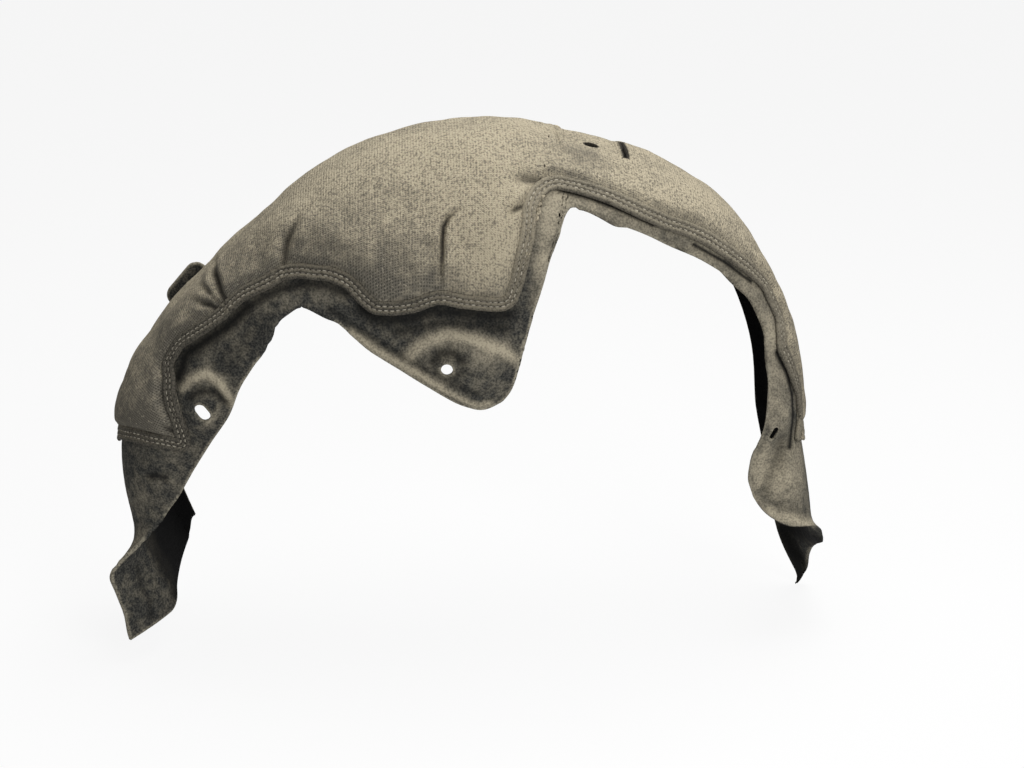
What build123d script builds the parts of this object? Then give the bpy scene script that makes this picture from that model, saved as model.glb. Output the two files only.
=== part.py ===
"""Wheel arch liner: a moulded felt shell with a padded absorber sewn to its outer face.

The shell is described by sections in planes that fan out from one line below the wheel axis. Each section
runs from the inboard edge up the wall, round the shoulder, over the crown and down the outboard lip.
A place on it is an angle (degrees, from the front foot near 0 over the top at 90 to the rear foot
near 195) and a share of the section, from 0 at the inboard edge to 1 at the lip. A place on the inboard
wall is an angle and a drop, the distance below the crown. Lengths are millimetres, with X along the
car, Y outboard and Z up.
"""
import math
import os
from bisect import bisect_right
from functools import lru_cache

from build123d import *

# Driving sizes of the arch
ARCH_RADIUS = 375.0
FAN_DROP = 150.0
SHELL_THICKNESS = 4.0
INBOARD_DEPTH = 110.0
OUTBOARD_DEPTH = 103.0
OUTBOARD_SHOULDER = 23.0

# Laws round the arch, as angle and millimetres: how far the crown lies inside the arch circle, how far the
# inboard wall lies outboard of the deepest wall, where the crown's ridge runs, how far the inboard shoulder
# drops and how deep the outboard lip is
CROWN_FLATTENING = {
    -18: -152, -8: -92, 0: -56, 4: -42, 10: -24, 18: -5, 28: 3, 38: 12, 48: 20, 60: 40, 75: 66, 90: 78,
    105: 87, 118: 92, 130: 80, 142: 50, 152: 25, 160: 6, 170: -8, 180: -16, 200: -26,
}
WALL_INSET = {35: 70, 52: 58, 66: 30, 76: 8, 90: 0, 115: 5, 130: 15, 150: 35, 175: 50, 200: 60}
CROWN_RIDGE = {40: 15, 62: 10, 76: -10, 90: -15, 115: -10, 130: -5, 150: 0, 200: 10}
SHOULDER_DROP = {0: 35, 20: 40, 40: 40, 62: 50, 76: 100, 90: 120, 110: 120, 130: 90, 150: 70, 170: 55, 200: 40}
LIP_DEPTH = {-18: 4, -13: 16, -8: 11, 20: 12, 45: 14, 90: 16, 160: 20, 180: 19, 200: 15}

# Shares of a section at which the crown's ridge and the outboard shoulder's end lie
CROWN_SHARE = 0.68
LIP_SHARE = 0.90

# Feet: the angle at which each ends, by share, the rear foot's turned-out flange and the front foot's lip
FRONT_END = {
    0: 8.5, 0.05: 5.5, 0.12: 3.5, 0.2: 2.1, 0.39: 0.8, 0.55: -1.5, 0.68: -5.5, 0.8: -11.5, 0.9: -16.5, 1: -18,
}
REAR_END = {0: 195.5, 0.4: 195.5, 0.68: 193, 0.8: 191, 0.9: 188.5, 1: 184.5}
FLANGE_TURN = {174: 0, 184: 1}
FLANGE_REACH = {170: 20, 183: 34, 190: 40, 197: 55}
FLANGE_FORWARD = 10.0
FLANGE_CURVE = 1.6
FOOT_LIP_RISE = 9.0
FOOT_LIP_WIDTH = 20.0
FOOT_LIP_FADE = 0.15

# Inboard edge, as angle and drop below the crown: front leg, strip, flap with its straight front side, notch
# and rear leg
INBOARD_EDGE = {
    9: 70, 11: 72, 14: 68, 22.3: 47.5, 30.9: 36, 36.7: 25, 40.5: 25.5, 45: 33.5, 51.2: 45, 58.4: 53, 65.6: 52,
    72.4: 43.5, 74: 46, 74.5: 62, 75.3: 243, 76.2: 254, 77.8: 262, 83.5: 270, 89.7: 263, 101.1: 221.5, 111: 160,
    116.4: 92, 120: 67, 124.2: 64, 127.8: 73, 137.6: 88.5, 146.3: 100, 155.6: 95, 166: 74, 171: 54, 176: 30,
}

# Fixing holes, as angle and drop, with their raised seats
HOLE_DIAMETER = 12.5
FLAP_HOLE = (94.1, 215)
REAR_SLOT = {"at": (147.7, 74), "length": 20, "width": 12.5, "tilt": -56}
FRONT_SLOT = {"at": (19.5, 38), "length": 15, "width": 6, "tilt": 62}
CROWN_HOLE_ANGLE = 72.0
CROWN_HOLE_Y = 3.0
CROWN_HOLE_DIAMETER = 16.0
FLAP_SEAT = {"at": (89.5, 222), "half": (72, 42), "rise": 10}
REAR_SEAT = {"at": (147, 80), "half": (38, 38), "rise": 8}
FRONT_SEAT = {"at": (19.5, 38), "half": (26, 28), "rise": 5}
SEAT_TOP = 0.35
FRONT_VALLEY = {"from": (17, 28), "to": (8, 44), "half": 9, "sink": 8}

# How deep the crown's openings are cut
SHELL_CUT = 40.0

# Strap slot beside the crown hole
SLOT_ANGLE = 67.5
SLOT_WIDTH = 6.0
SLOT_FROM_Y = -22.0
SLOT_TO_Y = 42.0

# Fixing ear on the outboard shoulder
EAR_ANGLE = 139.0
EAR_LENGTH = 58.0
EAR_RISE = 14.0
EAR_ROOT = 17.0
EAR_Y = 88.0
EAR_CORNER = 13.0

# Absorber pad: seam edge as angle and drop, ends by share, and its thickness round the arch
PAD_CLEARANCE = 0.6
HEM_THICKNESS = 3.5
HEM_WIDTH = 12.0
PUFF_RUN = 34.0
PAD_FAR_SHARE = 0.80
SEAM_EDGE = {
    15: 8, 20: 7, 28.1: 16, 32.4: 21.5, 36: 13, 41.3: 12.5, 49.4: 26.5, 60: 36.5, 65.2: 35, 69.9: 29, 74.6: 25.5,
    77: 27, 77.8: 33, 78.6: 75, 79.2: 125, 80.2: 152, 84.2: 158, 94.3: 142, 99.4: 143, 106: 131, 108.9: 110,
    112.5: 70, 117: 48.5, 124.5: 34.5, 130.4: 30, 136: 27, 140: 22, 144.2: 23.5, 147: 38, 150.8: 60, 155.6: 77,
}
PAD_FRONT_END = {0: 15, 1: 15}
PAD_REAR_END = {0: 156.5, 0.2: 157.75, 0.4: 159.75, 0.68: 163, 1: 163}
PUFF = {15: 2, 25: 3.5, 45: 4, 64: 4.5, 76: 7.5, 90: 8.5, 130: 8, 150: 7, 163: 6}
RECESS_FROM = 67.6
RECESS_TO = 76.4
RECESS_STEP = 0.7
RECESS_NEAR_Y = -38.0
RECESS_FADE = 24.0
RECESS_PRESS = 1.0
# Creases run from the tucks in the seam up over the pad
CREASES = [
    {"from": (94.3, 146), "to": (94.2, 70), "half": 7, "sink": 5},
    {"from": (120, 42), "to": (115.5, 12), "half": 8, "sink": 5},
    {"from": (130.4, 34), "to": (133, 8), "half": 8, "sink": 4},
    {"from": (77, 30), "to": (84, 16), "half": 9, "sink": 5},
]

# Sampling of the moulded faces
SECTION_STEP = 2.0
EDGE_CLIMB = 20.0
SECTION_POINTS = 29
FRONT_FADE = 16.0
REAR_FADE = 26.0
ANGLE_STEP = 0.005
SHARE_STEP = 0.002


def law(stations, at):
    """Value of a law at one place: a monotone cubic through its stations, level beyond the ends."""
    places = sorted(stations)
    if at <= places[0]:
        return stations[places[0]]
    if at >= places[-1]:
        return stations[places[-1]]

    def rise(k):
        return (stations[places[k + 1]] - stations[places[k]]) / (places[k + 1] - places[k])

    def slope(k):
        if k == 0 or k == len(places) - 1 or rise(k - 1) * rise(k) <= 0:
            return 0.0
        return 2 / (1 / rise(k - 1) + 1 / rise(k))

    i = bisect_right(places, at) - 1
    span = places[i + 1] - places[i]
    t = (at - places[i]) / span
    start = (1 + 2 * t) * (1 - t) ** 2 * stations[places[i]] + t * (1 - t) ** 2 * span * slope(i)
    end = t * t * (3 - 2 * t) * stations[places[i + 1]] - t * t * (1 - t) * span * slope(i + 1)
    return start + end


def smooth(t):
    """Smooth step from 0 to 1."""
    t = min(max(t, 0.0), 1.0)
    return t * t * (3 - 2 * t)


def crown_radius(angle):
    """Distance from the fan line to the crown."""
    along = FAN_DROP * math.sin(math.radians(angle))
    across = FAN_DROP * math.cos(math.radians(angle))
    return along + math.sqrt(ARCH_RADIUS**2 - across**2) - law(CROWN_FLATTENING, angle)


@lru_cache(maxsize=None)
def wall_place(angle, drop):
    """X and Z of a place given by its angle and its drop below the crown."""
    radius = crown_radius(angle) - drop
    turn = math.radians(angle)
    return radius * math.cos(turn), radius * math.sin(turn) - FAN_DROP


def off_line(x, z, start, end):
    """Distance from a point to a line between two places, and the share of the line passed there."""
    ax, az = wall_place(*start)
    bx, bz = wall_place(*end)
    length = math.hypot(bx - ax, bz - az)
    t = ((x - ax) * (bx - ax) + (z - az) * (bz - az)) / length**2
    t = min(max(t, 0.0), 1.0)
    return math.hypot(x - ax - t * (bx - ax), z - az - t * (bz - az)), t


def seat_rise(seat, x, z):
    """How far a raised seat stands towards the body at a point of the wall."""
    cx, cz = wall_place(*seat["at"])
    out = math.hypot((x - cx) / seat["half"][0], (z - cz) / seat["half"][1])
    return seat["rise"] * smooth((1 - out) / (1 - SEAT_TOP))


def valley(groove, x, z):
    """Depth of a rounded groove at a point, fading out at its far end."""
    distance, passed = off_line(x, z, groove["from"], groove["to"])
    return groove["sink"] * math.exp(-((distance / groove["half"]) ** 2)) * (1 - smooth(2 * passed - 1))


def section(angle, share, edge):
    """Y and drop of the outer face at an angle and a share of the section that starts on an edge."""
    wall_y = law(WALL_INSET, angle) - INBOARD_DEPTH
    ridge_y = law(CROWN_RIDGE, angle)
    shoulder = law(SHOULDER_DROP, angle)
    if share < CROWN_SHARE:
        start = law(edge, angle)
        first_turn = math.asin(max(0.0, 1 - start / shoulder))
        wall_run, arc_run = near_runs(angle, edge)
        run = share / CROWN_SHARE * (wall_run + arc_run)
        turn = first_turn + (run - wall_run) / arc_run * (math.pi / 2 - first_turn)
        if run < wall_run:
            y = wall_y
            drop = start - run
        else:
            y = ridge_y - (ridge_y - wall_y) * math.cos(turn)
            drop = shoulder * (1 - math.sin(turn))
    elif share < LIP_SHARE:
        turn = (share - CROWN_SHARE) / (LIP_SHARE - CROWN_SHARE) * math.pi / 2
        y = ridge_y + (OUTBOARD_DEPTH - ridge_y) * math.sin(turn)
        drop = OUTBOARD_SHOULDER * (1 - math.cos(turn))
    else:
        y = OUTBOARD_DEPTH
        drop = OUTBOARD_SHOULDER + law(LIP_DEPTH, angle) * (share - LIP_SHARE) / (1 - LIP_SHARE)
    turned = law(FLANGE_TURN, angle)
    if turned > 0 and share < CROWN_SHARE:
        run = share / CROWN_SHARE
        flange_y = wall_y - FLANGE_FORWARD + (ridge_y - wall_y + FLANGE_FORWARD) * run
        flange_drop = -law(FLANGE_REACH, angle) * (1 - run) ** FLANGE_CURVE
        y += turned * (flange_y - y)
        drop += turned * (flange_drop - drop)
    return y, drop


def moulded(angle, share, edge):
    """Point of the shell's outer face, with the seats and the front foot's valley pressed into the wall."""
    y, drop = section(angle, share, edge)
    x, z = wall_place(angle, drop)
    if share < CROWN_SHARE:
        y -= sum(seat_rise(seat, x, z) for seat in (FLAP_SEAT, REAR_SEAT, FRONT_SEAT))
        y += valley(FRONT_VALLEY, x, z)
    return Vector(x, y, z)


def outward(angle, share, edge):
    """Unit normal of the outer face, pointing away from the wheel."""
    along = moulded(angle + ANGLE_STEP, share, edge) - moulded(angle - ANGLE_STEP, share, edge)
    across = moulded(angle, share + SHARE_STEP, edge) - moulded(angle, share - SHARE_STEP, edge)
    return across.cross(along).normalized()


def foot_lip(angle, share):
    """Lift of the lip that is turned out along the front foot's end, on its inboard side."""
    run = math.radians(angle - law(FRONT_END, share)) * crown_radius(angle)
    inboard = 1 - smooth((share - CROWN_SHARE) / FOOT_LIP_FADE)
    return FOOT_LIP_RISE * max(0.0, 1 - run / FOOT_LIP_WIDTH) ** 2 * inboard


def section_angles(front, rear, edge):
    """Angles of the sections between two ends, closer together at the recess and where the edge climbs."""
    count = math.ceil((rear - front) / SECTION_STEP)
    angles = [front + (rear - front) * k / count for k in range(count + 1)]
    k = 0
    while k < len(angles) - 1:
        low, high = angles[k], angles[k + 1]
        coarse = high > RECESS_FROM and low < RECESS_TO and high - low > RECESS_STEP
        if coarse or abs(law(edge, high) - law(edge, low)) > EDGE_CLIMB:
            angles.insert(k + 1, (low + high) / 2)
        else:
            k += 1
    return angles


def near_runs(angle, edge):
    """Lengths of the flat wall and of the rounded shoulder between an edge and the crown's ridge."""
    shoulder = law(SHOULDER_DROP, angle)
    start = law(edge, angle)
    width = law(CROWN_RIDGE, angle) - law(WALL_INSET, angle) + INBOARD_DEPTH
    first_turn = math.asin(max(0.0, 1 - start / shoulder))
    return max(0.0, start - shoulder), (math.pi / 2 - first_turn) * math.hypot(width, shoulder) / math.sqrt(2)


def spread(knot, angle, edge, last_share):
    """Share at a knot, so that the knots lie evenly along the section on both sides of the ridge."""
    near = sum(near_runs(angle, edge))
    far = (OUTBOARD_DEPTH - law(CROWN_RIDGE, angle)) * (last_share - CROWN_SHARE) / (LIP_SHARE - CROWN_SHARE)
    ridge = near / (near + far)
    if knot < ridge:
        return CROWN_SHARE * knot / ridge
    return CROWN_SHARE + (last_share - CROWN_SHARE) * (knot - ridge) / (1 - ridge)


def lofted(ends, last_share, edge, outer_lift, inner_lift):
    """Solid between two skins, lofted through sections that run from the front end to the rear end."""
    knots = [j / (SECTION_POINTS - 1) for j in range(SECTION_POINTS)]
    front, rear = law(ends[0], 0), law(ends[1], 0)
    sections = []
    skins = []
    for nominal in section_angles(front, rear, edge):
        to_front = 1 - smooth((nominal - front) / FRONT_FADE)
        to_rear = 1 - smooth((rear - nominal) / REAR_FADE)
        outer = []
        inner = []
        for share in [spread(knot, nominal, edge, last_share) for knot in knots]:
            angle = nominal + to_front * (law(ends[0], share) - front) + to_rear * (law(ends[1], share) - rear)
            base = moulded(angle, share, edge)
            normal = outward(angle, share, edge)
            outer.append(base + normal * outer_lift(angle, share))
            inner.append(base + normal * inner_lift(angle, share))
        outer_line = Edge.make_spline(outer, parameters=knots)
        inner_line = Edge.make_spline(inner, parameters=knots)
        back_line = Edge.make_spline(inner[::-1], parameters=knots)
        sections.append(Wire([outer_line, Line(outer[-1], inner[-1]), back_line, Line(inner[0], outer[0])]))
        skins.append((outer_line, inner_line))
    caps = [Face.make_surface_from_curves(*skins[0]), Face.make_surface_from_curves(*skins[-1])]
    return Solid(Shell([*Shell.make_loft(sections).faces(), *caps]))


def flap_bore():
    """Cutter along Y for the round hole in the flap."""
    x, z = wall_place(*FLAP_HOLE)
    return Pos(x, -INBOARD_DEPTH, z) * Rot(90, 0, 0) * Cylinder(HOLE_DIAMETER / 2, INBOARD_DEPTH)


def wall_slot(slot):
    """Cutter along Y for a tilted slot in a leg's wall."""
    x, z = wall_place(*slot["at"])
    tilt = math.radians(slot["tilt"])
    frame = Plane(origin=(x, -INBOARD_DEPTH, z), x_dir=(math.cos(tilt), 0, math.sin(tilt)), z_dir=(0, 1, 0))
    return extrude(frame * SlotOverall(slot["length"], slot["width"]), amount=INBOARD_DEPTH, both=True)


def crown_frame(angle, y):
    """Frame on the crown, with its Z axis pointing away from the fan line."""
    x, z = wall_place(angle, 0)
    turn = math.radians(angle)
    return Plane(origin=(x, y, z), x_dir=(0, 1, 0), z_dir=(math.cos(turn), 0, math.sin(turn)))


def crown_bore():
    """Cutter for the round hole through the crown and the pad."""
    return crown_frame(CROWN_HOLE_ANGLE, CROWN_HOLE_Y) * Cylinder(CROWN_HOLE_DIAMETER / 2, 2 * SHELL_CUT)


def crown_slot():
    """Cutter for the strap slot across the crown."""
    middle = (SLOT_FROM_Y + SLOT_TO_Y) / 2
    slot = SlotOverall(SLOT_TO_Y - SLOT_FROM_Y, SLOT_WIDTH)
    return extrude(crown_frame(SLOT_ANGLE, middle) * slot, amount=SHELL_CUT, both=True)


def fixing_ear():
    """Plate that stands up from the outboard shoulder, rounded at its outer corners."""
    x, z = wall_place(EAR_ANGLE, 0)
    turn = math.radians(EAR_ANGLE)
    frame = Plane(origin=(x, EAR_Y, z), x_dir=(-math.sin(turn), 0, math.cos(turn)), z_dir=(0, 1, 0))
    outline = Pos(0, (EAR_RISE - EAR_ROOT) / 2) * Rectangle(EAR_LENGTH, EAR_RISE + EAR_ROOT)
    outline = fillet(outline.vertices().sort_by(Axis.Y)[-2:], EAR_CORNER)
    return extrude(frame * outline, amount=SHELL_THICKNESS / 2, both=True)


def liner_shell():
    """Moulded felt shell with its fixing holes, strap slot and ear."""
    body = lofted(
        (FRONT_END, REAR_END), 1.0, INBOARD_EDGE,
        foot_lip, lambda angle, share: foot_lip(angle, share) - SHELL_THICKNESS)
    body = body - flap_bore() - wall_slot(REAR_SLOT) - wall_slot(FRONT_SLOT)
    return body - crown_bore() - crown_slot() + fixing_ear()


def off_seam(x, z):
    """Distance from a point of the wall to the pad's seam edge."""
    places = list(SEAM_EDGE.items())
    return min(off_line(x, z, a, b)[0] for a, b in zip(places, places[1:]))


def recess(angle, y):
    """Share of the pressed recess round the crown hole at a place, from 0 to 1."""
    sides = smooth((angle - RECESS_FROM) / RECESS_STEP) * smooth((RECESS_TO - angle) / RECESS_STEP)
    return sides * smooth((y - RECESS_NEAR_Y) / RECESS_FADE)


def pad_lift(angle, share):
    """Lift of the pad's outer face: a flat hem, then the padded swell with its recess and creases."""
    y, drop = section(angle, share, SEAM_EDGE)
    x, z = wall_place(angle, drop)
    radius = crown_radius(angle)
    shoulder_run = (OUTBOARD_DEPTH - law(CROWN_RIDGE, angle)) / (LIP_SHARE - CROWN_SHARE)
    in_from_edge = min(
        off_seam(x, z),
        (PAD_FAR_SHARE - share) * shoulder_run,
        math.radians(angle - law(PAD_FRONT_END, share)) * radius,
        math.radians(law(PAD_REAR_END, share) - angle) * radius,
    )
    swell = law(PUFF, angle) * smooth((in_from_edge - HEM_WIDTH) / PUFF_RUN)
    if share < CROWN_SHARE:
        swell -= min(swell, max(valley(crease, x, z) for crease in CREASES))
    pressed = recess(angle, y)
    return PAD_CLEARANCE + HEM_THICKNESS - RECESS_PRESS * pressed + swell * (1 - pressed)


def absorber_pad():
    """Padded absorber that lies over the outer face of the shell."""
    body = lofted(
        (PAD_FRONT_END, PAD_REAR_END), PAD_FAR_SHARE, SEAM_EDGE,
        pad_lift, lambda angle, share: PAD_CLEARANCE)
    return body - crown_bore() - crown_slot()


def flap_hole_centre():
    """Centre of the flap's fixing hole on the outer face, which is the origin of the part."""
    x, z = wall_place(*FLAP_HOLE)
    y = law(WALL_INSET, FLAP_HOLE[0]) - INBOARD_DEPTH - seat_rise(FLAP_SEAT, x, z)
    return Vector(x, y, z)


os.makedirs("parts", exist_ok=True)
to_origin = Location(-flap_hole_centre())
export_step(liner_shell().moved(to_origin), "parts/liner_shell.step")
export_step(absorber_pad().moved(to_origin), "parts/absorber_pad.step")
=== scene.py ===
import math

import bmesh
import bpy
import numpy as np
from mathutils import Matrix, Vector, noise
from mathutils.bvhtree import BVHTree
from mathutils.kdtree import KDTree


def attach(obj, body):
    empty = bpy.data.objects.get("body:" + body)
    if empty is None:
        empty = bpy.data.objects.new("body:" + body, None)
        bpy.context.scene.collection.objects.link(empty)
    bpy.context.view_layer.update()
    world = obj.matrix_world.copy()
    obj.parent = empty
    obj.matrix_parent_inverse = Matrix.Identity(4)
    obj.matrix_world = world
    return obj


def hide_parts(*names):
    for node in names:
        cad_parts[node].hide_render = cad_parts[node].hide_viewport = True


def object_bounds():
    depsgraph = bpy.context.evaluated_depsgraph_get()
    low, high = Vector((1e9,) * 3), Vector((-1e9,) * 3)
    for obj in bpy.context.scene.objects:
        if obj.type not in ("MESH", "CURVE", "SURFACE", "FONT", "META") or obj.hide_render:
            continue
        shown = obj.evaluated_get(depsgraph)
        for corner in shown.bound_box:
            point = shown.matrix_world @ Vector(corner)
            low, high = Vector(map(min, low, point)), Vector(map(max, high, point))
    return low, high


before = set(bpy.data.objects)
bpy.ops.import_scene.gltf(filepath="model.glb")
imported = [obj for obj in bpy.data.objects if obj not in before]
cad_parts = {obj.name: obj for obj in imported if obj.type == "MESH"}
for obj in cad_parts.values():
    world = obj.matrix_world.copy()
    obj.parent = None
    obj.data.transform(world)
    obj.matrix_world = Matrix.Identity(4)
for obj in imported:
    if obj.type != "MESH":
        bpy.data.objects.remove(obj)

cad_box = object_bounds()

# View of the photograph
# A long lens a little above the part, looking at the inboard side almost square on, so that the arch is seen
# as a hoop with a strip of its crown on top.
VIEW_TARGET = Vector((0.0734, 0.1198, -0.0601))
VIEW_AZIMUTH = math.radians(-3.0)
VIEW_ELEVATION = math.radians(20.0)
VIEW_DISTANCE = 2.2
FOCAL_PIXELS = 2000.0
PICTURE_WIDTH = 1024
PICTURE_HEIGHT = 768
SENSOR_WIDTH = 36.0

view_back = Vector((
    math.sin(VIEW_AZIMUTH) * math.cos(VIEW_ELEVATION),
    -math.cos(VIEW_AZIMUTH) * math.cos(VIEW_ELEVATION),
    math.sin(VIEW_ELEVATION),
))
view_turn = view_back.to_track_quat("Z", "Y")
camera_data = bpy.data.cameras.new("photo_view")
camera_data.sensor_width = SENSOR_WIDTH
camera_data.lens = FOCAL_PIXELS * SENSOR_WIDTH / PICTURE_WIDTH
camera = bpy.data.objects.new("photo_view", camera_data)
camera.location = VIEW_TARGET + view_back * VIEW_DISTANCE
camera.rotation_euler = view_turn.to_euler()
bpy.context.scene.collection.objects.link(camera)
bpy.context.scene.camera = camera


def sight(pixel):
    """Direction of the line of sight through a pixel of the photograph."""
    across = (pixel[0] - PICTURE_WIDTH / 2) / FOCAL_PIXELS
    above = (PICTURE_HEIGHT / 2 - pixel[1]) / FOCAL_PIXELS
    return (view_turn @ Vector((across, above, -1.0))).normalized()


# Studio
# A wide pale floor under the two feet, a white surround, and large soft lamps above and in front.
FLOOR_SIZE = 60.0
FLOOR_DROP = 0.001
FLOOR_COLOUR = (0.93, 0.93, 0.93, 1.0)
FLOOR_WHITE_SHARE = 0.88
SURROUND_LIGHT = 0.30
TOP_LAMP = {"place": (0.30, 0.25, 1.60), "size": 1.3, "power": 24.0}
FRONT_LAMP = {"place": (1.10, -1.80, 1.10), "size": 1.2, "power": 24.0}

floor_mesh = bpy.data.meshes.new("floor")
half = FLOOR_SIZE / 2
floor_z = cad_box[0][2] - FLOOR_DROP
floor_mesh.from_pydata(
    [(-half, -half, floor_z), (half, -half, floor_z), (half, half, floor_z), (-half, half, floor_z)],
    [], [(0, 1, 2, 3)])
floor = bpy.data.objects.new("floor", floor_mesh)
bpy.context.scene.collection.objects.link(floor)
floor_paint = bpy.data.materials.new("pale_floor")
floor_paint.use_nodes = True
nodes = floor_paint.node_tree.nodes
links = floor_paint.node_tree.links
nodes["Principled BSDF"].inputs["Base Color"].default_value = FLOOR_COLOUR
nodes["Principled BSDF"].inputs["Roughness"].default_value = 1.0
nodes["Principled BSDF"].inputs["Specular IOR Level"].default_value = 0.0
glow = nodes.new("ShaderNodeEmission")
mix = nodes.new("ShaderNodeMixShader")
path = nodes.new("ShaderNodeLightPath")
white_share = nodes.new("ShaderNodeMath")
white_share.operation = "MULTIPLY"
white_share.inputs[1].default_value = FLOOR_WHITE_SHARE
links.new(path.outputs["Is Camera Ray"], white_share.inputs[0])
links.new(white_share.outputs[0], mix.inputs["Fac"])
links.new(nodes["Principled BSDF"].outputs[0], mix.inputs[1])
links.new(glow.outputs[0], mix.inputs[2])
links.new(mix.outputs[0], nodes["Material Output"].inputs["Surface"])
floor_mesh.materials.append(floor_paint)

surround = bpy.data.worlds.new("surround")
surround.use_nodes = True
nodes = surround.node_tree.nodes
links = surround.node_tree.links
path = nodes.new("ShaderNodeLightPath")
level = nodes.new("ShaderNodeMapRange")
level.inputs["To Min"].default_value = SURROUND_LIGHT
level.inputs["To Max"].default_value = 1.0
links.new(path.outputs["Is Camera Ray"], level.inputs["Value"])
nodes["Background"].inputs["Color"].default_value = (1.0, 1.0, 1.0, 1.0)
links.new(level.outputs["Result"], nodes["Background"].inputs["Strength"])
bpy.context.scene.world = surround
bpy.context.scene.view_settings.view_transform = "Standard"


def soft_lamp(name, lamp):
    """Square lamp that faces the middle of the part."""
    data = bpy.data.lights.new(name, "AREA")
    data.size = lamp["size"]
    data.energy = lamp["power"]
    obj = bpy.data.objects.new(name, data)
    obj.location = lamp["place"]
    obj.rotation_euler = (obj.location - VIEW_TARGET).to_track_quat("Z", "Y").to_euler()
    bpy.context.scene.collection.objects.link(obj)


soft_lamp("top_lamp", TOP_LAMP)
soft_lamp("front_lamp", FRONT_LAMP)

# Felt shell
# One moulding of needle-punched felt, 4 mm thick, pressed hot so that its faces are dense and its cut edges
# stay fibrous. Dust and painted light lie on its body side, painted shade lies in its grooves and slits, and
# its wheel side is black with dirt and painted shade.
SHELL_WELD = 0.0015
SHELL_EDGE = 0.0060
CUT_DEPTH = 0.007
SLIVER_SHARE = 0.25
SPLIT_PASSES = 5
UNDER_SKIN = 0.0002
FELT_SWELL = 0.0008
FELT_SWELL_SIZE = 0.045
FELT_LUMP = 0.0003
FELT_LUMP_SIZE = 0.009
CUT_EDGE_ANGLE = math.radians(50)
FLAT_ANGLE = CUT_EDGE_ANGLE / 2
BORDER_ANGLE = 9.0
CUT_FADE = 0.0050
CUT_STILL = 0.012
TO_BODY = Vector((0.0, -1.0, 0.0))
FAN_X = 0.0164
FAN_Z = -0.2281
FAN_REACH = 0.8
FAN_FROM = -16
FAN_TO = 196
FAN_STEP = 4
WHEEL_Y = 0.12
WHEEL_DEPTH = 0.045
BLACK_FROM_Y = 0.085
BLACK_FADE = 0.030
BELOW_FADE = 0.007
LOOK_SHARPNESS = 4
DIRT_PASSES = 2
LINE_STEP = 0.002
PIXEL_STEP = 5.0
LINE_REACH = 2.2
LINE_FINE = 0.55
LINE_PASSES = 3
SEARCH_STEP = 0.01
SEARCH_STEPS = 25
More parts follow.
